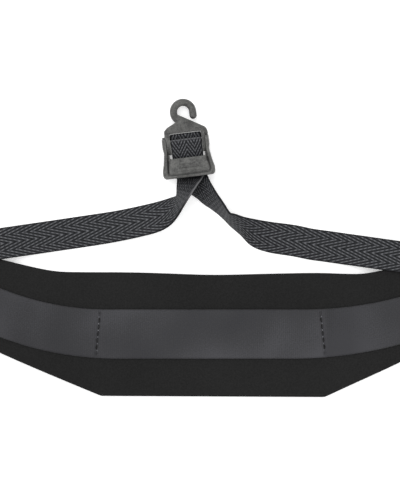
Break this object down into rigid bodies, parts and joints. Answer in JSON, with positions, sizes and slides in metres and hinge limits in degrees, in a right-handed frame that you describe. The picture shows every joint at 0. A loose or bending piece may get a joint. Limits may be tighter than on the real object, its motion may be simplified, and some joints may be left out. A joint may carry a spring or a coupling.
{
  "type": "saxophone neck strap",
  "caption": "Padded neck strap with a stretch band, two herringbone webbing strands and a moulded hook with a cam lever that grips the webbing.",
  "frame": {"origin": "middle of the pad's underside, on the surface that the strap lies on", "axes": "+X along the pad to the wearer's right as laid out, +Y from the pad to the hook, +Z out of the pad's face"},
  "size_m": [0.376, 0.1817, 0.0184],
  "materials": {
    "lining": "non-slip knit lining",
    "foam": "closed-cell neoprene foam",
    "face": "fine black jersey",
    "elastic": "woven elastic",
    "band": "smooth charcoal knit",
    "webbing": "herringbone polypropylene webbing",
    "plastic": "moulded satin nylon",
    "steel": "blackened steel pin",
    "thread": "bonded polyester thread"
  },
  "bodies": {
    "strap": {"pad_lining": "lining", "pad_foam": "foam", "pad_face": "face", "stretch_webbing": "elastic", "band_cover": "band", "webbing_left": "webbing", "webbing_right": "webbing", "hook_frame": "plastic", "hinge_pin": "steel", "band_stitches_left": "thread", "band_stitches_right": "thread", "tip_stitches_left": "thread", "tip_stitches_right": "thread", "bartack": "thread"},
    "lever": {"lever": "plastic"}
  },
  "joints": [
    {"name": "lever_hinge", "type": "hinge", "parent": "strap", "child": "lever", "pos_m": [-0.01184, 0.11686, 0.0064], "axis": [-0.9925, -0.1219, 0], "range_deg": [0, 110]}
  ]
}
